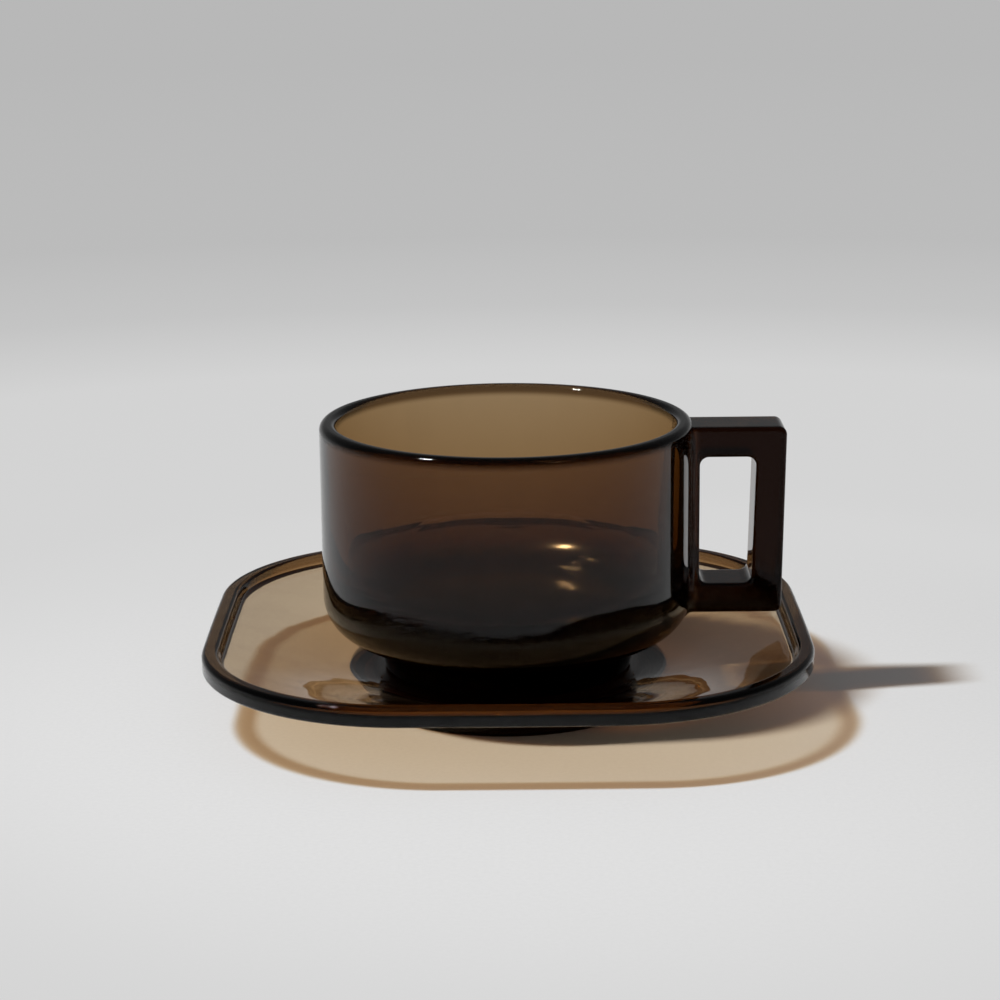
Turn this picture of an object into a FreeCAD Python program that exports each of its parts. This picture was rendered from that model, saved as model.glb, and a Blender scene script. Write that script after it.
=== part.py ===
import FreeCAD, Part
import math
import os

# Pressed smoked-glass cup and its saucer.  The cup is one solid: a straight round bowl on a short
# tapered foot, with a square loop handle.  The saucer is one solid: a round seat that opens out into a
# rounded-square plate with a raised lip, on a round foot ring.  The cup only stands on the saucer.
# Millimetres, +Z up, the handle along +X, the origin under the middle of the saucer's foot ring.

# ---- driving dimensions ---------------------------------------------------------------------------
SAUCER_HALF = 72.6              # middle of the saucer to the middle of a side
SAUCER_CORNER = 49.5            # plan radius of its four corners at the rim
SIDE_BULGE = math.radians(0.6)  # half the turn that each nearly straight side makes
SAUCER_TOP = 19.0               # top of the raised lip above the table
RIM_UNDER = 14.4                # lower edge of the upright outer face
LIP_WIDTH = 3.7                 # width of the raised lip at its top
LIP_STEP = 2.7                  # height of the lip above the plate beside it
LIP_LEAN = 1.2                  # how far the inner side of the lip leans in towards its foot
LIP_ROUND = 1.3                 # rounding along the top of the lip
LIP_FOOT_ROUND = 1.6            # hollow rounding between the lip and the plate
RIM_UNDER_ROUND = 0.9           # rounding along the lower edge of the outer face
SEAT_RADIUS = 33.0              # flat round seat that the cup stands on
SEAT_LEVEL = 7.1                # height of the seat above the table
RING_RADIUS = 37.5              # foot ring, where it meets the underside
PLATE = 1.9                     # upright thickness of the plate from the ring out to the lip
RING_WIDTH = 3.6                # width of the foot ring's standing face
RING_RECESS = 2.6               # height of the underside inside the ring
RING_DRAFT = 0.8                # how far each side of the ring leans over its height
RING_EDGE = 0.8                 # rounding of the ring's standing edges and of the recess inside it
RING_ROOT_ROUND = 3.5           # hollow rounding between the ring and the plate

CUP_RADIUS = 45.0               # outside of the bowl
CUP_HEIGHT = 61.4               # cup by itself, foot to rim
WALL_AT_RIM = 4.0               # wall thickness at the rim
WALL_AT_BASE = 6.4              # wall thickness where the inside starts to round in
LIP_OUTER_ROUND = 1.8           # rounding of the drinking edge, outside
LIP_INNER_ROUND = 1.6           # rounding of the drinking edge, inside
INNER_FLOOR = 15.0              # inner floor above the bottom of the foot
INNER_ROUND = 12.0              # rounding between the inner wall and the inner floor
SHOULDER_ROUND = 10.0           # rounding between the outer wall and the underside
UNDER_SLOPE = math.radians(26.5)  # rise of the bowl's conical underside
FOOT_TOP_RADIUS = 31.0          # foot where it meets the underside
FOOT_BASE_RADIUS = 30.0         # foot at the seat
FOOT_HEIGHT = 5.3               # seat to the underside of the bowl
FOOT_TOP_ROUND = 0.9            # hollow rounding under the bowl
FOOT_BASE_ROUND = 1.1           # rounding of the standing edge
RECESS_RADIUS = 23.0            # shallow hollow under the foot
RECESS_DEPTH = 1.3
RECESS_ROUND = 1.0              # hollow rounding inside that recess
RECESS_EDGE = 0.8               # rounding of its edge on the foot

HANDLE_REACH = 67.4             # axis of the cup to the outer face of the handle, at its top
HANDLE_DRAFT = 0.9              # how much nearer that face is at the bottom
HANDLE_DEPTH = 13.8             # width of the handle across
HANDLE_TOP = 67.1               # top face above the table
HANDLE_BOTTOM = 21.1            # bottom face above the table
BAR = 7.3                       # thickness of the three free bars
PAD_FACE = 46.5                 # upright face of the pad that carries the loop on the wall
HANDLE_ROOT = 42.4              # where the loop ends inside the wall
GAP_ROUND = 2.2                 # corner radius of the finger gap
HANDLE_CORNER = 2.0             # outer corner radius of the loop
HANDLE_EDGE = 1.1               # rounding along the loop's outer edges
GAP_EDGE = 0.8                  # rounding along the gap's edges

BLEND_STEPS = 5                 # spans of each loft between the foot ring and the lip
OVERLAP = 1.0                   # how far a cutting or joining block reaches past its face
SAME = 1e-4                     # places nearer than this count as one

INNER_HALF = SAUCER_HALF - LIP_WIDTH
LIP_FOOT = INNER_HALF - LIP_LEAN
PLATE_EDGE = SAUCER_TOP - LIP_STEP


# ---- general helpers ------------------------------------------------------------------------------
def vector(x, y, z):
    return FreeCAD.Vector(x, y, z)


def rounded_corner(before, corner, after, radius):
    """Start, middle and end of the arc that rounds a corner between two straight runs."""
    inward = (before - corner).normalize()
    outward = (after - corner).normalize()
    half = inward.getAngle(outward) / 2
    reach = radius / math.tan(half)
    bisector = (inward + outward).normalize()
    middle = corner + bisector * (radius / math.sin(half) - radius)
    return corner + inward * reach, middle, corner + outward * reach


def rounded_profile(corners):
    """Closed wire in the XZ plane through (x, z, radius) corners, each rounded by its own radius."""
    points = [vector(x, 0, z) for x, z, radius in corners]
    edges = []
    runs = []
    for index, (x, z, radius) in enumerate(corners):
        here = points[index]
        if radius == 0:
            runs.append((here, here))
            continue
        after = points[(index + 1) % len(points)]
        start, middle, end = rounded_corner(points[index - 1], here, after, radius)
        edges.append(Part.Arc(start, middle, end).toShape())
        runs.append((start, end))
    for index, (start, _) in enumerate(runs):
        edges.append(Part.LineSegment(runs[index - 1][1], start).toShape())
    return Part.Wire(Part.__sortEdges__(edges))


def revolved(corners):
    """Solid of revolution about the Z axis from a rounded XZ profile."""
    return Part.Face(rounded_profile(corners)).revolve(vector(0, 0, 0), vector(0, 0, 1), 360)


# ---- saucer ---------------------------------------------------------------------------------------
def plate_level(half):
    """Top of the plate: half straight, half S-shaped rise from the seat to the lip."""
    way = (half - SEAT_RADIUS) / (INNER_HALF - SEAT_RADIUS)
    rise = 0.5 * way + 0.5 * way ** 2 * (3 - 2 * way)
    return SEAT_LEVEL + rise * (PLATE_EDGE - SEAT_LEVEL)


def squareness_at(half):
    """0 over the foot ring, where the plate is round, to 1 at the lip, where it is a rounded square."""
    return min(max((half - RING_RADIUS) / (LIP_FOOT - RING_RADIUS), 0), 1)


def outline(half, squareness, level):
    """Horizontal outline of four side arcs and four corner arcs, all tangent.

    Squareness 0 gives a circle of radius `half`, and 1 gives the rim's rounded square.
    """
    turn = math.radians(22.5) * (1 - squareness) + SIDE_BULGE * squareness
    corner = half - squareness * (SAUCER_HALF - SAUCER_CORNER)
    share = math.cos(turn) - math.sin(turn)
    side = (half - corner * share) / (1 - share)
    side_centre = half - side
    lever = side - corner
    corner_centre = (side_centre + lever * math.cos(turn), lever * math.sin(turn))
    edges = []
    for quarter in range(4):
        place = FreeCAD.Rotation(vector(0, 0, 1), 90 * quarter)

        def on_side(angle):
            x, y = side_centre + side * math.cos(angle), side * math.sin(angle)
            return place.multVec(vector(x, y, 0)) + vector(0, 0, level)

        def on_corner(angle):
            x = corner_centre[0] + corner * math.cos(angle)
            y = corner_centre[1] + corner * math.sin(angle)
            return place.multVec(vector(x, y, 0)) + vector(0, 0, level)

        quarter_turn = math.pi / 2
        edges.append(Part.Arc(on_side(-turn), on_side(0), on_side(turn)).toShape())
        edges.append(Part.Arc(on_corner(turn), on_corner(quarter_turn / 2),
                              on_corner(quarter_turn - turn)).toShape())
    return Part.Wire(edges)


def dish(halves, drop):
    """Loft through the plate's outlines at these distances from the middle, lowered by `drop`."""
    sections = [outline(half, squareness_at(half), plate_level(half) - drop) for half in halves]
    return Part.makeLoft(sections, True, False)


def steps_out(end):
    """Distances from the foot ring out to `end`, evenly spaced."""
    return [RING_RADIUS + (end - RING_RADIUS) * step / BLEND_STEPS for step in range(BLEND_STEPS + 1)]


def rim_block():
    """Upright block with the rim's rounded-square outline, from its lower edge to the lip's top."""
    return Part.Face(outline(SAUCER_HALF, 1, RIM_UNDER)).extrude(vector(0, 0, SAUCER_TOP - RIM_UNDER))


def lip_opening():
    """Space inside the lip: its side leans from the lip's foot out to its top, and on past it."""
    low = plate_level(LIP_FOOT)
    lean = LIP_LEAN / (SAUCER_TOP - low)
    top = outline(INNER_HALF + lean * OVERLAP, 1, SAUCER_TOP + OVERLAP)
    return Part.makeLoft([outline(LIP_FOOT, 1, low), top], True, True)


def foot_ring():
    """Ring that the saucer stands on, with the flat underside inside it."""
    inner_foot = RING_RADIUS - RING_DRAFT - RING_WIDTH
    inside_plate = SEAT_LEVEL - OVERLAP
    return revolved([
        (0, inside_plate, 0),
        (0, RING_RECESS, 0),
        (inner_foot - RING_DRAFT, RING_RECESS, RING_EDGE),
        (inner_foot, 0, RING_EDGE),
        (RING_RADIUS - RING_DRAFT, 0, RING_EDGE),
        (RING_RADIUS, plate_level(RING_RADIUS) - PLATE, 0),
        (SEAT_RADIUS, inside_plate, 0),
    ])


def edges_at_level(solid, level, nearest):
    """Edges that lie wholly at one height, farther than `nearest` from the axis."""
    chosen = []
    for edge in solid.Edges:
        box = edge.BoundBox
        flat = abs(box.ZMin - level) < SAME and abs(box.ZMax - level) < SAME
        middle = edge.valueAt((edge.FirstParameter + edge.LastParameter) / 2)
        if flat and math.hypot(middle.x, middle.y) > nearest:
            chosen.append(edge)
    return chosen


def make_saucer():
    body = dish(steps_out(INNER_HALF), PLATE).fuse(rim_block())
    hollow = dish([SEAT_RADIUS, *steps_out(LIP_FOOT)], 0).fuse(lip_opening())
    saucer = body.fuse(foot_ring()).cut(hollow).removeSplitter()
    roundings = [
        (LIP_FOOT_ROUND, plate_level(LIP_FOOT), SEAT_RADIUS),
        (LIP_ROUND, SAUCER_TOP, SEAT_RADIUS),
        (RIM_UNDER_ROUND, RIM_UNDER, INNER_HALF),
        (RING_ROOT_ROUND, plate_level(RING_RADIUS) - PLATE, SEAT_RADIUS),
    ]
    for radius, level, nearest in roundings:
        saucer = saucer.makeFillet(radius, edges_at_level(saucer, level, nearest))
    return saucer


# ---- cup ------------------------------------------------------------------------------------------
def bowl_and_foot():
    """Round body of the cup, turned from one profile: foot, underside, wall, lip, inside."""
    base = SEAT_LEVEL
    top = base + CUP_HEIGHT
    foot_top = base + FOOT_HEIGHT
    shoulder = foot_top + (CUP_RADIUS - FOOT_TOP_RADIUS) * math.tan(UNDER_SLOPE)
    return revolved([
        (0, base + RECESS_DEPTH, 0),
        (RECESS_RADIUS - RECESS_DEPTH, base + RECESS_DEPTH, RECESS_ROUND),
        (RECESS_RADIUS, base, RECESS_EDGE),
        (FOOT_BASE_RADIUS, base, FOOT_BASE_ROUND),
        (FOOT_TOP_RADIUS, foot_top, FOOT_TOP_ROUND),
        (CUP_RADIUS, shoulder, SHOULDER_ROUND),
        (CUP_RADIUS, top, LIP_OUTER_ROUND),
        (CUP_RADIUS - WALL_AT_RIM, top, LIP_INNER_ROUND),
        (CUP_RADIUS - WALL_AT_BASE, base + INNER_FLOOR, INNER_ROUND),
        (0, base + INNER_FLOOR, 0),
    ])


def across(corners):
    """Block across the handle with a rounded XZ profile."""
    face = Part.Face(rounded_profile(corners))
    face.translate(vector(0, -HANDLE_DEPTH / 2, 0))
    return face.extrude(vector(0, HANDLE_DEPTH, 0))


def handle():
    """Square loop: three bars and a pad against the wall, round a drafted finger gap."""
    low_reach = HANDLE_REACH - HANDLE_DRAFT
    loop = across([
        (HANDLE_ROOT, HANDLE_BOTTOM, 0),
        (low_reach, HANDLE_BOTTOM, HANDLE_CORNER),
        (HANDLE_REACH, HANDLE_TOP, HANDLE_CORNER),
        (HANDLE_ROOT, HANDLE_TOP, 0),
    ])
    gap = across([
        (PAD_FACE, HANDLE_BOTTOM + BAR, GAP_ROUND),
        (low_reach - BAR, HANDLE_BOTTOM + BAR, GAP_ROUND),
        (HANDLE_REACH - BAR, HANDLE_TOP - BAR, GAP_ROUND),
        (PAD_FACE, HANDLE_TOP - BAR, GAP_ROUND),
    ])
    outer_rim = [edge for edge in loop.Edges
                 if edge.BoundBox.YLength < SAME and edge.BoundBox.XMax > HANDLE_ROOT + OVERLAP]
    loop = loop.makeFillet(HANDLE_EDGE, outer_rim)
    loop = loop.cut(gap)
    near_gap = gap.BoundBox
    near_gap.enlarge(SAME)
    gap_rim = [edge for edge in loop.Edges
               if edge.BoundBox.YLength < SAME and near_gap.isInside(edge.BoundBox)
               and abs(abs(edge.BoundBox.YMax) - HANDLE_DEPTH / 2) < SAME]
    return loop.makeFillet(GAP_EDGE, gap_rim)


def make_cup():
    return bowl_and_foot().fuse(handle()).removeSplitter()


def main():
    os.makedirs("parts", exist_ok=True)
    for name, shape in {"cup": make_cup(), "saucer": make_saucer()}.items():
        solid = shape.Solids[0]
        print(name, "solids", len(shape.Solids), "valid", solid.isValid(),
              "volume cm3", round(solid.Volume / 1000, 2))
        solid.exportStep(f"parts/{name}.step")


main()
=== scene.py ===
import math

import bpy
import numpy as np
from mathutils import Matrix, Vector


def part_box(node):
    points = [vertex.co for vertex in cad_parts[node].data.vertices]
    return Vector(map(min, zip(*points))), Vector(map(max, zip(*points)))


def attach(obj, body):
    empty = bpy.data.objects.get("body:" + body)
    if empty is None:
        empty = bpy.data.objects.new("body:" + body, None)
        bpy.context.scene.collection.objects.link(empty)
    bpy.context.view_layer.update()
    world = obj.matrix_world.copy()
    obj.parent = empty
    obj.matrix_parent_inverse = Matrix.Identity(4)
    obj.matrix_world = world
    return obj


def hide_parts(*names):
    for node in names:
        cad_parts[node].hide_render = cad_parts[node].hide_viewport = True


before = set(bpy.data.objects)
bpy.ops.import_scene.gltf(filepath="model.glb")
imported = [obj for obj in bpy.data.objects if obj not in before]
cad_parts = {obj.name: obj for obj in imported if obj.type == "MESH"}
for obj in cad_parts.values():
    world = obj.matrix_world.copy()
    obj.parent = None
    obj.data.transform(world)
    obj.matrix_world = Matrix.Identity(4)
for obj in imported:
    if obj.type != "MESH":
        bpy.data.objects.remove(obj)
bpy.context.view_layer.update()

# Smoked-glass cup and saucer: two closed glass skins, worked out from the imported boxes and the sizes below.
# Metres, +Z up, the handle along +X.

CUP_LOW, CUP_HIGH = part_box("cup")
SAUCER_LOW, SAUCER_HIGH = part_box("saucer")
MM = 0.001

# ---- sizes of the cup -------------------------------------------------------------------------------
WALL_AT_RIM = 4.0 * MM
WALL_AT_BASE = 6.4 * MM           # where the inside starts to round in
LIP_OUTER_ROUND = 1.8 * MM
LIP_INNER_ROUND = 1.6 * MM
INNER_FLOOR = 15.0 * MM           # above the bottom of the foot
INNER_ROUND = 12.0 * MM           # between the inner wall and the inner floor
SHOULDER_ROUND = 10.0 * MM        # between the outer wall and the underside
UNDER_SLOPE = math.radians(26.5)  # rise of the bowl's underside
FOOT_TOP_RADIUS = 31.0 * MM
FOOT_BASE_RADIUS = 30.0 * MM
FOOT_HEIGHT = 5.3 * MM
FOOT_TOP_ROUND = 0.9 * MM
FOOT_BASE_ROUND = 1.1 * MM
RECESS_RADIUS = 23.0 * MM         # shallow hollow under the foot
RECESS_DEPTH = 1.3 * MM
RECESS_ROUND = 1.0 * MM
RECESS_EDGE = 0.8 * MM

HANDLE_TOP_DROP = 1.4 * MM        # rim of the cup to the top of the handle
HANDLE_BOTTOM_RISE = 14.0 * MM    # bottom of the foot to the bottom of the handle
HANDLE_DEPTH = 13.8 * MM          # width of the handle across
HANDLE_DRAFT = 0.9 * MM           # how much nearer the bowl its outer face is at the bottom
BAR = 7.3 * MM                    # thickness of its three free bars
PAD = 1.5 * MM                    # how far its pad stands out from the wall
ROOT_DEPTH = 2.6 * MM             # how far the loop reaches into the wall
ROOT_CORNER = 0.3 * MM            # rounding of the loop's corners inside the wall
GAP_ROUND = 2.2 * MM              # corners of the finger gap
HANDLE_CORNER = 2.0 * MM          # outer corners of the loop
HANDLE_EDGE = 1.1 * MM            # rounding along the loop's outer edges
GAP_EDGE = 0.8 * MM               # rounding along the gap's edges
ROOT_FLARE = 1.2 * MM             # hollow rounding where the loop meets the wall
FLARE_STOP = 0.985                # how far round that rounding goes, so that it never lies flat on the wall
FLARE_FADE = 5.0 * MM             # stretch under the handle's top over which it dies out

# ---- sizes of the saucer ----------------------------------------------------------------------------
CORNER_RADIUS = 49.5 * MM         # plan radius of its corners at the rim
SIDE_TURN = math.radians(0.6)     # half the turn that each nearly straight side makes at the rim
ROUND_TURN = math.radians(22.5)   # half the turn of the same side where the plan is a circle
LIP_WIDTH = 3.7 * MM              # at its top
LIP_STEP = 2.7 * MM               # height of the lip above the plate beside it
LIP_ROUND = 1.3 * MM
LIP_FOOT_ROUND = 1.6 * MM         # hollow rounding between the lip and the plate
LIP_LEAN = 1.2 * MM               # how far the inner side of the lip leans in towards its foot
RIM_UNDER = 14.4 * MM             # table to the lower edge of the outer face
RIM_UNDER_ROUND = 0.9 * MM
SEAT_RADIUS = 33.0 * MM           # flat round seat that the cup stands on
RING_RADIUS = 37.5 * MM           # foot ring, where it meets the underside
PLATE = 1.9 * MM                  # upright thickness of the plate between the ring and the rim
RING_WIDTH = 3.6 * MM             # of its standing face
RING_RECESS = 2.6 * MM            # table to the underside inside the ring
RING_DRAFT = 0.8 * MM             # how far each side of the ring leans over its height
RING_EDGE = 0.8 * MM
RING_ROOT_ROUND = 3.5 * MM        # hollow rounding between the ring and the plate

# ---- fineness of the skins --------------------------------------------------------------------------
AIR_GAP = 0.03 * MM               # air between two faces that rest on each other
NEAR_AXIS = 0.4 * MM              # radius of the first and last ring, which close on the axis
AROUND = 256                      # columns round the cup and the saucer
SIDE_SHARE = 0.4                  # share of the columns that the saucer's four sides take
RUN_STEP = 1.2 * MM               # longest span on a straight run of a profile
ARC_STEP = math.radians(5)        # longest span on its roundings
PLATE_POINTS = 36                 # along the plate's rise
RUN_CLEARANCE = 3.0 * MM          # room that the plate's run leaves for the rounding beyond it
CORNER_POINTS = 12                # of the handle's outlines: round each corner
SIDE_POINTS = 36                  # and along each side
EDGE_POINTS = 8                   # of the handle's section: round each edge
ACROSS_POINTS = 10                # from the outer outline to the inner one
FACE_POINTS = 14                  # across the outer and the inner face
SMOOTH_ANGLE = math.radians(35)   # faces that turn more than this keep a sharp edge
TINY = 1e-12                      # keeps a division off zero

# ---- places -----------------------------------------------------------------------------------------
CUP_RADIUS = (CUP_HIGH.y - CUP_LOW.y) / 2
CUP_BASE = CUP_LOW.z + AIR_GAP
CUP_TOP = CUP_HIGH.z
FOOT_TOP = CUP_BASE + FOOT_HEIGHT
SHOULDER_CORNER = FOOT_TOP + (CUP_RADIUS - FOOT_TOP_RADIUS) * math.tan(UNDER_SLOPE)
SHOULDER_TOP = SHOULDER_CORNER + SHOULDER_ROUND * math.tan((math.pi / 2 - UNDER_SLOPE) / 2)
INNER_LEVEL = CUP_BASE + INNER_FLOOR
SAUCER_HALF = SAUCER_HIGH.x
SAUCER_TOP = SAUCER_HIGH.z
SEAT_LEVEL = CUP_LOW.z
INNER_HALF = SAUCER_HALF - LIP_WIDTH
LIP_FOOT = INNER_HALF - LIP_LEAN
PLATE_EDGE = SAUCER_TOP - LIP_STEP
TABLE = SAUCER_LOW.z


# ---- profiles and skins -----------------------------------------------------------------------------
def corner_arc(before, here, after, radius, count=None):
    """The arc that rounds the corner `here` between two straight runs: its points and outward normals.

    Its centre is on the corner's bisector, radius / sin(half the corner's angle) away, and it sweeps pi
    less that angle.  It has `count` points, or else one every ARC_STEP and at least three.
    """
    back, ahead = before - here, after - here
    back /= np.linalg.norm(back)
    ahead /= np.linalg.norm(ahead)
    half = math.acos(np.clip(back @ ahead, -1, 1)) / 2
    bisector = (back + ahead) / np.linalg.norm(back + ahead)
    side = (ahead - back) / np.linalg.norm(ahead - back)
    sweep = math.pi - 2 * half
    count = count or max(3, math.ceil(sweep / ARC_STEP) + 1)
    angle = np.linspace(-sweep / 2, sweep / 2, count)[:, None]
    normal = np.sin(angle) * side - np.cos(angle) * bisector
    return here + bisector * radius / math.sin(half) + radius * normal, normal


def rounded_path(corners):
    """Points along straight runs between (x, z, radius) corners, joined by arcs tangent to the runs.

    The first and last corners, and those of radius 0, are kept as they are.
    """
    corners = np.array(corners, float)
    places, radii = corners[:, :2], corners[:, 2]
    stretches = [places[:1]]
    for index in range(1, len(places) - 1):
        if radii[index] == 0:
            stretches.append(places[index:index + 1])
        else:
            stretches.append(corner_arc(*places[index - 1:index + 2], radii[index])[0])
    stretches.append(places[-1:])
    points = stretches[:1]
    for stretch in stretches[1:]:
        start, end = points[-1][-1], stretch[0]
        count = int(np.linalg.norm(end - start) / RUN_STEP)
        points.append(start + (end - start) * (np.arange(1, count + 1) / (count + 1))[:, None])
        points.append(stretch)
    return np.concatenate(points)


def grid_faces(rows, columns, wrap_rows):
    """Quads of a grid whose columns close on themselves, and whose rows do too if wrap_rows."""
    row = np.arange(rows if wrap_rows else rows - 1)[:, None]
    column = np.arange(columns)[None, :]
    below = (row + 1) % rows
    right = (column + 1) % columns
    here, under = row * columns, below * columns
    return np.stack([here + column, here + right, under + right, under + column], axis=-1).reshape(-1, 4)


def mesh_object(name, points, faces):
    """A smooth-shaded object at the origin from an array of points and a list of faces."""
    mesh = bpy.data.meshes.new(name)
    mesh.from_pydata(points.reshape(-1, 3), [], faces)
    mesh.validate()
    mesh.polygons.foreach_set("use_smooth", np.ones(len(mesh.polygons), bool))
    piece = bpy.data.objects.new(name, mesh)
    bpy.context.scene.collection.objects.link(piece)
    return piece


def closed_skin(name, grid):
    """Skin over a (rows, columns, 3) grid of rings, whose first and last rings close on one point each."""
    rows, columns = grid.shape[:2]
    poles = np.stack([grid[0].mean(0), grid[-1].mean(0)])
    column = np.arange(columns)
    right = (column + 1) % columns
    last_ring = (rows - 1) * columns
    first_pole = np.full(columns, rows * columns)
    first_fan = np.stack([first_pole, column, right], axis=-1)
    last_fan = np.stack([first_pole + 1, last_ring + right, last_ring + column], axis=-1)
    faces = [*grid_faces(rows, columns, wrap_rows=False).tolist(), *first_fan.tolist(), *last_fan.tolist()]
    return mesh_object(name, np.concatenate([grid.reshape(-1, 3), poles]), faces)


def outward(piece):
    """Turns the whole skin inside out if its enclosed volume, a sum of a . (b x c), comes out negative."""
    mesh = piece.data
    mesh.calc_loop_triangles()
    corners = np.empty(len(mesh.loop_triangles) * 3, np.int32)
    mesh.loop_triangles.foreach_get("vertices", corners)
    points = np.empty(len(mesh.vertices) * 3)
    mesh.vertices.foreach_get("co", points)
    a, b, c = points.reshape(-1, 3)[corners.reshape(-1, 3)].transpose(1, 0, 2)
    if np.einsum("ij,ij->i", a, np.cross(b, c)).sum() < 0:
        mesh.flip_normals()
    return piece


# ---- cup --------------------------------------------------------------------------------------------
def cup_profile():
    """Half section of the bowl from the hollow under the foot, round the outside and down the inside."""
    return rounded_path([
        (NEAR_AXIS, CUP_BASE + RECESS_DEPTH, 0),
        (RECESS_RADIUS - RECESS_DEPTH, CUP_BASE + RECESS_DEPTH, RECESS_ROUND),
        (RECESS_RADIUS, CUP_BASE, RECESS_EDGE),
        (FOOT_BASE_RADIUS, CUP_BASE, FOOT_BASE_ROUND),
        (FOOT_TOP_RADIUS, FOOT_TOP, FOOT_TOP_ROUND),
        (CUP_RADIUS, SHOULDER_CORNER, SHOULDER_ROUND),
        (CUP_RADIUS, CUP_TOP, LIP_OUTER_ROUND),
        (CUP_RADIUS - WALL_AT_RIM, CUP_TOP, LIP_INNER_ROUND),
        (CUP_RADIUS - WALL_AT_BASE, INNER_LEVEL, INNER_ROUND),
        (NEAR_AXIS, INNER_LEVEL, 0),
    ])


def turned(name, profile):
    """Surface of revolution: each profile point (r, z) goes round to (r cos a, r sin a, z)."""
    angle = np.arange(AROUND) * (2 * math.pi / AROUND)
    radius, level = profile[:, 0, None], profile[:, 1, None]
    grid = np.stack([radius * np.cos(angle), radius * np.sin(angle), level + 0 * angle], axis=-1)
    return outward(closed_skin(name, grid))


def loop_outline(corners):
    """Closed outline through rounded (x, z, radius) corners, and its outward normals.

    Every corner has the same number of points and so has every side, so that two outlines of four
    corners match point by point.
    """
    corners = np.array(corners, float)
    places, radii = corners[:, :2], corners[:, 2]
    before, after = np.roll(places, 1, axis=0), np.roll(places, -1, axis=0)
    arcs = [corner_arc(*trio, radius, CORNER_POINTS) for *trio, radius in zip(before, places, after, radii)]
    share = (np.arange(1, SIDE_POINTS + 1) / (SIDE_POINTS + 1))[:, None]
    points, normals = [], []
    for (arc, normal), (following, _) in zip(arcs, arcs[1:] + arcs[:1]):
        points += [arc, arc[-1] + (following[0] - arc[-1]) * share]
        normals += [normal, normal[-1] + 0 * share]
    return np.concatenate(points), np.concatenate(normals)


def loop_section():
    """Closed section of the loop, in four rows.

    They are the share of the way from the outer outline to the inner one, the inset from each of the two,
    and the depth y.  An edge of radius r is a quarter circle: it lies r (1 - cos a) in from the outline,
    and ends r (1 - sin a) short of the side.
    """
    deep = HANDLE_DEPTH / 2
    angle = np.linspace(0, math.pi / 2, EDGE_POINTS)
    flat = np.linspace(-1, 1, FACE_POINTS)[1:-1]
    across = np.linspace(0, 1, ACROSS_POINTS)[1:-1]

    def edge(radius):
        return radius * (1 - np.cos(angle)), deep - radius * (1 - np.sin(angle))

    def rows(share, outer_inset, inner_inset, depth):
        return np.stack(np.broadcast_arrays(share, outer_inset, inner_inset, depth))

    outer_inset, outer_depth = edge(HANDLE_EDGE)
    inner_inset, inner_depth = edge(GAP_EDGE)
    outer_face = rows(0, 0, 0, flat * (deep - HANDLE_EDGE))
    inner_face = rows(1, 0, 0, -flat * (deep - GAP_EDGE))
    outer_edge = rows(0, outer_inset, 0, outer_depth)
    side = rows(across, HANDLE_EDGE, GAP_EDGE, deep)
    inner_edge = rows(1, 0, inner_inset, inner_depth)[:, ::-1]
    front = np.concatenate([outer_edge, side, inner_edge], axis=1)
    back = front[:, ::-1] * np.array([1, 1, 1, -1])[:, None]
    return np.concatenate([outer_face, front, inner_face, back], axis=1)


def wall_distance(points):
    """Distance out from the bowl's outer skin: straight wall, lip rounding above, shoulder below."""
    radius = np.hypot(points[..., 0], points[..., 1])
    level = points[..., 2]
    lip_start = CUP_TOP - LIP_OUTER_ROUND
    wall = radius - CUP_RADIUS
    lip = np.hypot(radius - CUP_RADIUS + LIP_OUTER_ROUND, level - lip_start) - LIP_OUTER_ROUND
    shoulder = np.hypot(radius - CUP_RADIUS + SHOULDER_ROUND, level - SHOULDER_TOP) - SHOULDER_ROUND
    return np.where(level > lip_start, lip, np.where(level < SHOULDER_TOP, shoulder, wall))


def flared(grid, outer_side, middle, top):
    """The loop with its root swelling out, along the skin's normal, into the wall.

    The swell is r - sqrt(r * r - (r - d) ** 2), where d is the distance from the wall and r the flare,
    which makes a hollow rounding.  Normals come from the grid's two directions, and are turned to point
    away from the middle on the loop's outer side.
    """
    around = np.roll(grid, -1, axis=0) - np.roll(grid, 1, axis=0)
    over = np.roll(grid, -1, axis=1) - np.roll(grid, 1, axis=1)
    normal = np.cross(around, over)
    normal /= np.linalg.norm(normal, axis=-1, keepdims=True) + TINY
    facing = np.sign((normal * (grid - middle)).sum(-1)[outer_side].sum())
    near = np.clip(1 - wall_distance(grid) / ROOT_FLARE, 0, FLARE_STOP)
    fading = np.clip((top - grid[..., 2]) / FLARE_FADE, 0, 1)
    swell = fading * ROOT_FLARE * (1 - np.sqrt(1 - near ** 2))
    return grid + normal * facing * swell[..., None]


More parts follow.
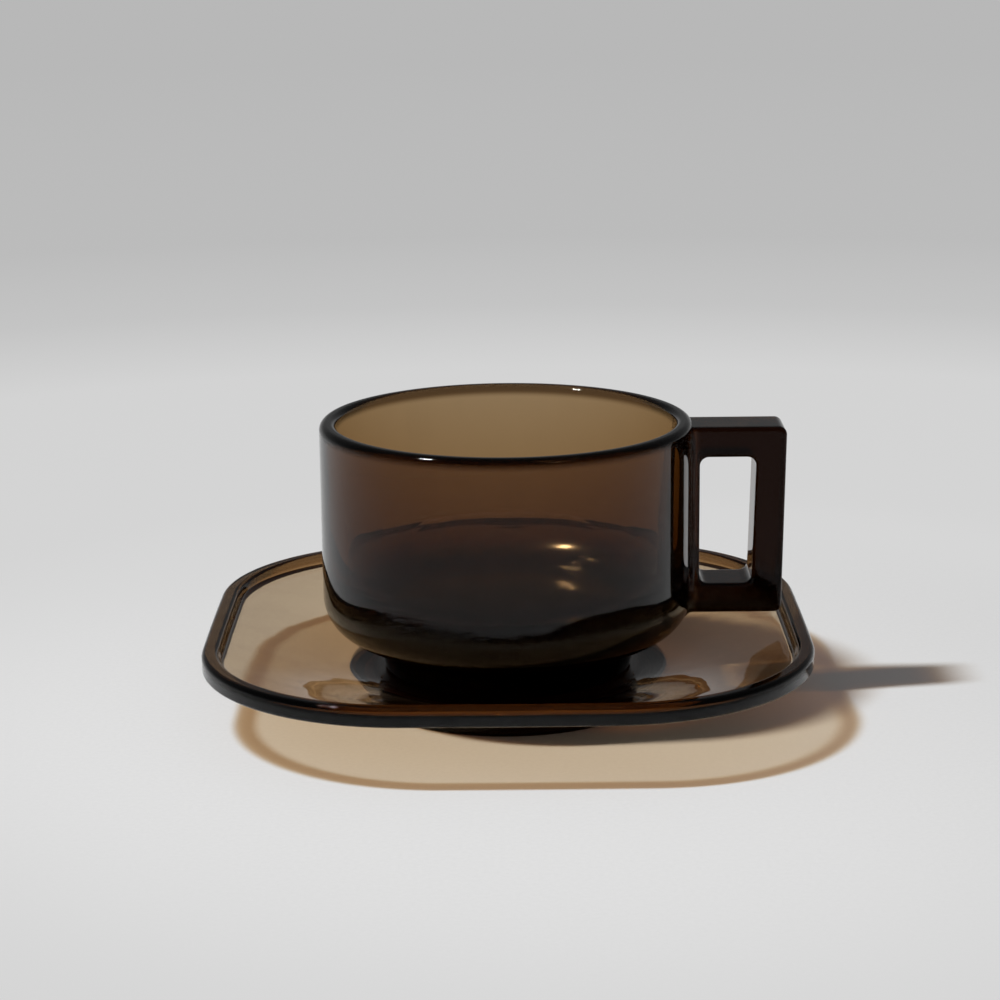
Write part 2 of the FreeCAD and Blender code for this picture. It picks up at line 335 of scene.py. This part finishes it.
def handle_loop():
    """Square loop: at each point round the loop, the section runs between the outer and inner outlines."""
    top = CUP_TOP - HANDLE_TOP_DROP
    bottom = CUP_BASE + HANDLE_BOTTOM_RISE
    reach = CUP_HIGH.x
    low_reach = reach - HANDLE_DRAFT
    root = CUP_RADIUS - ROOT_DEPTH
    pad = CUP_RADIUS + PAD
    outer, outer_normal = loop_outline([
        (root, bottom, ROOT_CORNER), (low_reach, bottom, HANDLE_CORNER),
        (reach, top, HANDLE_CORNER), (root, top, ROOT_CORNER)])
    inner, inner_normal = loop_outline([
        (pad, bottom + BAR, GAP_ROUND), (low_reach - BAR, bottom + BAR, GAP_ROUND),
        (reach - BAR, top - BAR, GAP_ROUND), (pad, top - BAR, GAP_ROUND)])
    share, outer_inset, inner_inset, depth = loop_section()[:, None, :, None]
    from_outer = outer[:, None] - outer_normal[:, None] * outer_inset
    from_inner = inner[:, None] + inner_normal[:, None] * inner_inset
    plan = from_outer * (1 - share) + from_inner * share
    depth, share = np.broadcast_arrays(depth[..., 0], share[..., 0], plan[..., 0])[:2]
    grid = np.stack([plan[..., 0], depth, plan[..., 1]], axis=-1)
    middle = np.array([(root + reach) / 2, 0, (top + bottom) / 2])
    grid = flared(grid, share < 0.5, middle, top)
    return outward(mesh_object("handle_loop", grid, grid_faces(*grid.shape[:2], wrap_rows=True)))


def joined(body, addition):
    """One closed skin from two that overlap."""
    union = body.modifiers.new("join", "BOOLEAN")
    union.operation = "UNION"
    union.solver = "EXACT"
    union.object = addition
    bpy.context.view_layer.update()
    made = bpy.data.meshes.new_from_object(body.evaluated_get(bpy.context.evaluated_depsgraph_get()))
    made.name = body.name
    body.modifiers.clear()
    body.data = made
    bpy.data.objects.remove(addition)
    made.polygons.foreach_set("use_smooth", np.ones(len(made.polygons), bool))
    made.set_sharp_from_angle(angle=SMOOTH_ANGLE)
    return body


def make_cup():
    """The bowl and its handle, one piece of glass."""
    cup = joined(turned("smoked_cup", cup_profile()), handle_loop())
    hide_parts("cup")
    return cup


# ---- saucer -----------------------------------------------------------------------------------------
def plate_level(half):
    """Top of the plate: half straight, half S-shaped rise from the seat to the lip."""
    way = (half - SEAT_RADIUS) / (INNER_HALF - SEAT_RADIUS)
    rise = 0.5 * way + 0.5 * way ** 2 * (3 - 2 * way)
    return SEAT_LEVEL + rise * (PLATE_EDGE - SEAT_LEVEL)


def plate_run(start, end, drop):
    """Corners with no rounding along the plate's top, lowered by `drop`."""
    half = np.linspace(start, end, PLATE_POINTS)
    return np.stack([half, plate_level(half) - drop, 0 * half], axis=-1)


def saucer_section():
    """Section from the middle of the seat over the lip and back under the ring: half, level, squareness.

    Squareness grows evenly from 0 at the ring, where the plan is a circle, to 1 at the foot of the lip.
    """
    lip = [(LIP_FOOT, plate_level(LIP_FOOT), LIP_FOOT_ROUND),
           (INNER_HALF, SAUCER_TOP, LIP_ROUND),
           (SAUCER_HALF, SAUCER_TOP, LIP_ROUND),
           (SAUCER_HALF, TABLE + RIM_UNDER, RIM_UNDER_ROUND)]
    ring_foot = RING_RADIUS - RING_DRAFT
    inner_foot = ring_foot - RING_WIDTH
    ring = [(RING_RADIUS, plate_level(RING_RADIUS) - PLATE, RING_ROOT_ROUND),
            (ring_foot, TABLE, RING_EDGE),
            (inner_foot, TABLE, RING_EDGE),
            (inner_foot - RING_DRAFT, TABLE + RING_RECESS, RING_EDGE),
            (NEAR_AXIS, TABLE + RING_RECESS, 0)]
    over = [(NEAR_AXIS, SEAT_LEVEL, 0), *plate_run(SEAT_RADIUS, LIP_FOOT - RUN_CLEARANCE, 0), *lip]
    under = [*plate_run(INNER_HALF, RING_RADIUS + RING_ROOT_ROUND + RUN_CLEARANCE, PLATE), *ring]
    half, level = rounded_path([*over, *under]).T
    return half, level, np.clip((half - RING_RADIUS) / (LIP_FOOT - RING_RADIUS), 0, 1)


def outline(half, squareness):
    """Plan of a ring: four side arcs and four corner arcs, all tangent; squareness 0 gives a circle.

    A side arc turns by `turn` each way from its middle and a corner arc takes the rest of the quarter.
    """
    turn = ROUND_TURN * (1 - squareness) + SIDE_TURN * squareness
    corner = half - squareness * (SAUCER_HALF - CORNER_RADIUS)
    share = np.cos(turn) - np.sin(turn)
    side = (half - corner * share) / (1 - share)
    column = np.arange(AROUND) / AROUND * 4
    quarter = np.floor(column + SIDE_SHARE / 2)
    place = column - quarter
    on_side = np.clip(place / SIDE_SHARE * 2, -1, 1) * turn
    corner_share = np.clip((place - SIDE_SHARE / 2) / (1 - SIDE_SHARE), 0, 1)
    on_corner = corner_share * (math.pi / 2 - 2 * turn)
    in_corner = place > SIDE_SHARE / 2
    lever = side - corner
    angle = np.where(in_corner, turn + on_corner, on_side)
    radius = np.where(in_corner, corner, side)
    x = half - side + np.where(in_corner, lever * np.cos(turn), 0) + radius * np.cos(angle)
    y = np.where(in_corner, lever * np.sin(turn), 0) + radius * np.sin(angle)
    way = quarter * (math.pi / 2)
    return x * np.cos(way) - y * np.sin(way), x * np.sin(way) + y * np.cos(way)


def make_saucer():
    """One ring of the plan for each point of the section, at that point's level."""
    half, level, squareness = (values[:, None] for values in saucer_section())
    x, y = outline(half, squareness)
    grid = np.stack([x, y, level + 0 * x], axis=-1)
    saucer = outward(closed_skin("smoked_saucer", grid))
    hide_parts("saucer")
    return saucer


# ---- shader maths -----------------------------------------------------------------------------------
class Value:
    """A shader socket: arithmetic on it adds Math nodes."""

    def __init__(self, graph, socket):
        self.graph = graph
        self.socket = socket

    def math(self, operation, *others):
        return self.graph.node("ShaderNodeMath", {"operation": operation}, self, *others)

    def __add__(self, other):
        return self.math("ADD", other)

    def __sub__(self, other):
        return self.math("SUBTRACT", other)

    def __rsub__(self, other):
        return self.graph.node("ShaderNodeMath", {"operation": "SUBTRACT"}, other, self)

    def __mul__(self, other):
        return self.math("MULTIPLY", other)

    __radd__ = __add__
    __rmul__ = __mul__


class Graph:
    """The nodes of one material, or of the world."""

    def __init__(self, holder, output="ShaderNodeOutputMaterial"):
        holder.use_nodes = True
        self.holder = holder
        self.tree = holder.node_tree
        self.tree.nodes.clear()
        self.output = self.tree.nodes.new(output)

    def node(self, kind, settings=None, *values, out=0, **named):
        """Adds a node: its settings first, then the values or links of its sockets."""
        made = self.tree.nodes.new(kind)
        for key, setting in (settings or {}).items():
            setattr(made, key, setting)
        for key, value in [*enumerate(values), *named.items()]:
            target = made.inputs[key.replace("_", " ") if isinstance(key, str) else key]
            if isinstance(value, Value):
                self.tree.links.new(value.socket, target)
            else:
                target.default_value = value
        return Value(self, made.outputs[out])

    def finish(self, surface, volume=None):
        self.tree.links.new(surface.socket, self.output.inputs["Surface"])
        if volume is not None:
            self.tree.links.new(volume.socket, self.output.inputs["Volume"])
        return self.holder


def ramp(graph, factor, stops):
    """Colour ramp through (place, grey) stops, given in order of place."""
    made = graph.node("ShaderNodeValToRGB", None, factor)
    elements = made.socket.node.color_ramp.elements
    elements[0].position, elements[1].position = stops[0][0], stops[-1][0]
    for place, _ in stops[1:-1]:
        elements.new(place)
    for (_, grey), stop in zip(stops, elements):
        stop.color = (grey, grey, grey, 1)
    return made


def step(graph, value, span):
    """Smooth step from 0 at the start of the span to 1 at its end."""
    start, end = span
    return graph.node("ShaderNodeMapRange", {"interpolation_type": "SMOOTHSTEP"}, value,
                      From_Min=start, From_Max=end)


def along(graph, place, axis):
    """One of the place's three numbers."""
    return graph.node("ShaderNodeSeparateXYZ", None, place, out=axis)


def from_axis(graph, place):
    """Distance from the axis of the cup."""
    flat = graph.node("ShaderNodeVectorMath", {"operation": "MULTIPLY"}, place, (1, 1, 0))
    return graph.node("ShaderNodeVectorMath", {"operation": "LENGTH"}, flat, out="Value")


def ray(graph, kind):
    """1 for light rays of one kind."""
    return graph.node("ShaderNodeLightPath", out=kind)


# ---- glass ------------------------------------------------------------------------------------------
CUP_DEPTH = (0.56, 0.37, 0.06, 1)       # light in the glass fades at density * (1 - colour) a metre
SAUCER_DEPTH = (0.66, 0.44, 0.10, 1)
DEPTH_DENSITY = 500.0
GLASS_IOR = 1.5
GLOSS_TINT = (0.45, 0.45, 0.45, 1)      # of the reflection, which is weaker than plain glass gives
SMUDGE_ROUGHNESS = 0.03
SMUDGE_TINT = [(0, 0.94), (1, 1.0)]     # faint change of tint with the same smudges
COAT_ROUGHNESS = 0.16
SEAT_COAT = 0.2

PAINTED_SHADE_COLOUR = (0.06, 0.030, 0.012, 1)  # painted shade: a darker surface that the thick parts mix in, over what the glass's depth already takes
PAINTED_SHADE_IOR = 1.2
PAINTED_SHADE_SHARE = 0.72                      # the most of it that they mix in

# The first five spans place the painted shade; the rest place the coat and the mould's rings and ripples.
HANDLE_SPAN = (CUP_RADIUS - 0.5 * MM, CUP_RADIUS + 2.0 * MM)        # out from the wall
LIP_SPAN = (CUP_TOP - 3.2 * MM, CUP_TOP - 1.4 * MM)                 # up towards the rim
FOOT_SPAN = (SHOULDER_TOP - 1.0 * MM, FOOT_TOP + 5.0 * MM)          # down from the shoulder
RIM_SPAN = (PLATE_EDGE, PLATE_EDGE + 1.2 * MM)                      # up the saucer's lip
RING_SPAN = (RING_RADIUS + 0.6 * MM, RING_RADIUS + 1.4 * MM)        # out from the foot ring
SEAT_SPAN = (SEAT_RADIUS - 2.0 * MM, SEAT_RADIUS)                   # out to the edge of the seat
INSIDE_SPAN = (CUP_RADIUS - 5.5 * MM, CUP_RADIUS - 3.5 * MM)        # through the wall, from inside
BOTTOM_SPAN = (INNER_LEVEL - 4.0 * MM, INNER_LEVEL - 2.0 * MM)      # up to just under the inner floor
INNER_WALL_SPAN = (INNER_LEVEL + 9.0 * MM, INNER_LEVEL + 13.0 * MM)  # up the inner wall
RIPPLE_SPAN = (SHOULDER_TOP, SHOULDER_TOP + 5.0 * MM)               # up from the shoulder
PATCH_SPAN = (8.0 * MM, 18.0 * MM)                                  # out from the middle of the patch
RIPPLE_PATCH = (-0.019, -0.041, 0.024)                              # front left of the shoulder

WAVE_HEIGHT = 0.12 * MM
RING_SPACING = 1.5 * MM
RING_WOBBLE = 1.2 * MM
RING_HEIGHT = 0.14                      # share of the wave height
RIPPLE_HEIGHT = 0.25                    # the same, away from the patch
SAUCER_WAVES = 1.5                      # the same


def smoked_glass(name, depth_colour, shade, waves, polish):
    """Clear brown glass: the colour is in its depth, and light for other things goes straight through.

    From the place on the piece, `shade` gives how much painted shade darkens the thick parts, 0 to 1,
    `waves` the height of what the mould left, and `polish` where the surface is at its brightest.
    """
    graph = Graph(bpy.data.materials.new(name))
    place = graph.node("ShaderNodeTexCoord", out="Object")
    smudges = graph.node("ShaderNodeTexNoise", Vector=place, Scale=140.0, Detail=3.0)
    normal = graph.node("ShaderNodeBump", Strength=1.0, Distance=WAVE_HEIGHT, Height=waves(graph, place))
    look = {
        "Roughness": smudges * SMUDGE_ROUGHNESS,
        "Transmission_Weight": 1.0,
        "Specular_Tint": GLOSS_TINT,
        "Normal": normal,
        "Coat_Weight": polish(graph, place),
        "Coat_Roughness": COAT_ROUGHNESS,
    }
    tint = ramp(graph, smudges, SMUDGE_TINT)
    wall = graph.node("ShaderNodeBsdfPrincipled", Base_Color=tint, IOR=GLASS_IOR, **look)
    # painted shade: a dark brown surface, mixed in over the thick parts
    painted_shade_surface = graph.node("ShaderNodeBsdfPrincipled", Base_Color=PAINTED_SHADE_COLOUR, IOR=PAINTED_SHADE_IOR, **look)
    glass = graph.node("ShaderNodeMixShader", None, shade(graph, place) * PAINTED_SHADE_SHARE, wall, painted_shade_surface)
    clear = graph.node("ShaderNodeBsdfTransparent")
    soft = graph.node("ShaderNodeMixShader", None, ray(graph, "Is Diffuse Ray"), glass, clear)
    surface = graph.node("ShaderNodeMixShader", None, ray(graph, "Is Shadow Ray"), soft, clear)
    depth = graph.node("ShaderNodeVolumeAbsorption", Color=depth_colour, Density=DEPTH_DENSITY)
    return graph.finish(surface, depth)


def cup_painted_shade(graph, place):
    """Painted shade on the thick parts of the cup: the handle, the lip and the foot."""
    handle = step(graph, along(graph, place, "X"), HANDLE_SPAN)
    lip = step(graph, along(graph, place, "Z"), LIP_SPAN)
    foot = step(graph, along(graph, place, "Z"), FOOT_SPAN)
    return handle.math("MAXIMUM", lip).math("MAXIMUM", foot)


def saucer_painted_shade(graph, place):
    """Painted shade on the lip, the thick part of the saucer, and on all within the foot ring, where the
    table beneath lies in shade.
    """
    lip = step(graph, along(graph, place, "Z"), RIM_SPAN)
    return lip.math("MAXIMUM", 1 - step(graph, from_axis(graph, place), RING_SPAN))


def inner_bottom(graph, place):
    """1 in the bottom of the inside of the cup, fading out up the inner wall."""
    height = along(graph, place, "Z")
    inside = 1 - step(graph, from_axis(graph, place), INSIDE_SPAN)
    return inside * step(graph, height, BOTTOM_SPAN) * (1 - step(graph, height, INNER_WALL_SPAN))


def saucer_polish(graph, place):
    """The seat, under the cup."""
    return (1 - step(graph, from_axis(graph, place), SEAT_SPAN)) * SEAT_COAT


def cup_waves(graph, place):
    """Slow waves all over, fine level ripples round the shoulder, and rings in the bottom of the inside.

    The ripples stand higher on one patch at the front, where the mould left them.
    """
    slow = graph.node("ShaderNodeTexNoise", Vector=place, Scale=55.0, Detail=1.0, Roughness=0.4)
    flattened = graph.node("ShaderNodeVectorMath", {"operation": "MULTIPLY"}, place, (1, 1, 3))
    fine = graph.node("ShaderNodeTexNoise", Vector=flattened, Scale=330.0, Detail=2.0, Roughness=0.6)
    height = along(graph, place, "Z")
    away = graph.node("ShaderNodeVectorMath", {"operation": "DISTANCE"}, place, RIPPLE_PATCH, out="Value")
    patch = 1 - step(graph, away, PATCH_SPAN)
    ripples = fine * (1 - step(graph, height, RIPPLE_SPAN)) * (RIPPLE_HEIGHT + patch)
    wobble = graph.node("ShaderNodeTexNoise", Vector=place, Scale=120.0, Detail=1.0)
    rings = ((height + wobble * RING_WOBBLE) * (2 * math.pi / RING_SPACING)).math("SINE")
    return slow + ripples + rings * inner_bottom(graph, place) * RING_HEIGHT


def saucer_waves(graph, place):
    """Slow waves over the plate."""
    waves = graph.node("ShaderNodeTexNoise", Vector=place, Scale=60.0, Detail=1.0, Roughness=0.4)
    return waves * SAUCER_WAVES


# ---- paper and room ---------------------------------------------------------------------------------
PAPER_SPAN = (-0.14, 0.14)              # from the side of the lamp across to the other
PAPER_WHITE = [(0, 0.64), (1, 0.93)]    # whiter away from the lamp, which evens out its light
PAPER_GRAIN = 0.2                       # share of that range that is left to the grain
PLAIN_MIDDLE = (0.02, -0.01, 0)         # middle of the lit floor
PLAIN_SPAN = (0.10, 0.20)               # out from there, from lit floor to plain tone
FAR_TONE = 0.479
ROOM_TONE = 0.13
FLOOR_REACH = 2.5
FLOOR_RINGS = (0.02, 0.3, 0.9, FLOOR_REACH)
FLOOR_COLUMNS = 64
# (distance from that middle, tone) from the lit floor out to the horizon
FLOOR_TONES = [(0.10, 0.716), (0.22, 0.660), (0.43, 0.650), (0.58, 0.552), (0.80, 0.500), (2.0, FAR_TONE)]
# (height of the direction, tone) from the horizon up
ROOM_TONES = [(0.0, FAR_TONE), (0.08, 0.34), (0.2, 0.19), (0.4, ROOM_TONE)]


def pale_paper():
    """White paper that takes the light and shadow close to the cup, and a plain pale tone further off."""
    graph = Graph(bpy.data.materials.new("pale_paper"))
    place = graph.node("ShaderNodeTexCoord", out="Object")
    grain = graph.node("ShaderNodeTexNoise", Vector=place, Scale=900.0, Detail=2.0)
    side = step(graph, along(graph, place, "X"), PAPER_SPAN)
    white = ramp(graph, grain * PAPER_GRAIN + side * (1 - PAPER_GRAIN), PAPER_WHITE)
    lit = graph.node("ShaderNodeBsdfPrincipled", Base_Color=white, Roughness=0.9)
    offset = graph.node("ShaderNodeVectorMath", {"operation": "SUBTRACT"}, place, PLAIN_MIDDLE)
    away = graph.node("ShaderNodeVectorMath", {"operation": "LENGTH"}, offset, out="Value")
    tones = [(where / FLOOR_REACH, tone) for where, tone in FLOOR_TONES]
    plain = graph.node("ShaderNodeEmission", None, ramp(graph, away * (1 / FLOOR_REACH), tones))
    seen = ray(graph, "Is Camera Ray")
    for kind in ("Is Glossy Ray", "Is Transmission Ray"):
        seen = seen.math("MAXIMUM", ray(graph, kind))
    far = step(graph, away, PLAIN_SPAN)
    return graph.finish(graph.node("ShaderNodeMixShader", None, seen * far, lit, plain))


def paper_floor(material):
    """Flat round floor under the saucer: rings of points (r cos a, r sin a), filled in the middle."""
    radius = np.array(FLOOR_RINGS)[:, None]
    angle = np.arange(FLOOR_COLUMNS) * (2 * math.pi / FLOOR_COLUMNS)
    grid = np.stack([radius * np.cos(angle), radius * np.sin(angle), 0 * radius * angle], axis=-1)
    rings = grid_faces(len(FLOOR_RINGS), FLOOR_COLUMNS, wrap_rows=False)
    middle = list(range(FLOOR_COLUMNS))[::-1]
    floor = mesh_object("paper_floor", grid, [*rings.tolist(), middle])
    floor.data.flip_normals()           # they look down as the grid is laid
    floor.location.z = TABLE - AIR_GAP
    floor.data.materials.append(material)


def studio_world():
    """Room that is pale at the horizon and dim above."""
    graph = Graph(bpy.data.worlds.new("studio"), "ShaderNodeOutputWorld")
    direction = graph.node("ShaderNodeTexCoord", out="Generated")
    tone = ramp(graph, along(graph, direction, "Z"), ROOM_TONES)
    bpy.context.scene.world = graph.finish(graph.node("ShaderNodeBackground", None, tone))


# ---- lamp and camera --------------------------------------------------------------------------------
LAMP_PLACE = (-0.35, -0.085, TABLE + 0.66)
LAMP_SIZE = (0.045, 0.10)               # small, for a crisp shadow
LAMP_POWER = 5.2
LAMP_TARGET = (0, 0, CUP_HIGH.z / 2)

CAMERA_PLACE = (-0.00056, -0.6245, TABLE + 0.2017)
CAMERA_PITCH = math.radians(13.81)      # down from level
CAMERA_YAW = 0.0016                     # radians, as the roll is
CAMERA_ROLL = -0.0101
LENS = 95.27                            # millimetres, as the sensor is
SENSOR = 36.0
CLIP_END = 20.0


def key_lamp():
    """One oval lamp, high on the left, that looks at the middle of the cup."""
    lamp = bpy.data.lights.new("key", "AREA")
    lamp.shape = "ELLIPSE"
    lamp.size, lamp.size_y = LAMP_SIZE
    lamp.energy = LAMP_POWER
    holder = bpy.data.objects.new("key", lamp)
    holder.location = LAMP_PLACE
    holder.rotation_mode = "QUATERNION"
    holder.rotation_quaternion = (Vector(LAMP_PLACE) - Vector(LAMP_TARGET)).to_track_quat("Z", "Y")
    bpy.context.scene.collection.objects.link(holder)


def camera():
    """Looks down a little on the cup, from the front."""
    data = bpy.data.cameras.new("camera")
    data.lens = LENS
    data.sensor_width = SENSOR
    data.clip_end = CLIP_END
    holder = bpy.data.objects.new("camera", data)
    yaw = Matrix.Rotation(CAMERA_YAW, 4, "Z")
    pitch = Matrix.Rotation(math.pi / 2 - CAMERA_PITCH, 4, "X")
    roll = Matrix.Rotation(CAMERA_ROLL, 4, "Z")
    holder.matrix_world = Matrix.Translation(CAMERA_PLACE) @ yaw @ pitch @ roll
    bpy.context.scene.collection.objects.link(holder)
    bpy.context.scene.camera = holder


def build():
    """The two pieces in their glass, on the body that carries them, and the studio round them."""
    cup_glass = smoked_glass("cup_glass", CUP_DEPTH, cup_painted_shade, cup_waves, inner_bottom)
    saucer_glass = smoked_glass("saucer_glass", SAUCER_DEPTH, saucer_painted_shade, saucer_waves, saucer_polish)
    for piece, slot, material in ((make_cup(), "cup_glass", cup_glass),
                                  (make_saucer(), "saucer_glass", saucer_glass)):
        piece.data.materials.clear()
        piece.data.materials.append(material)
        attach(piece, "root")
    paper_floor(pale_paper())
    key_lamp()
    studio_world()
    camera()
    bpy.context.scene.view_settings.view_transform = "Standard"


build()
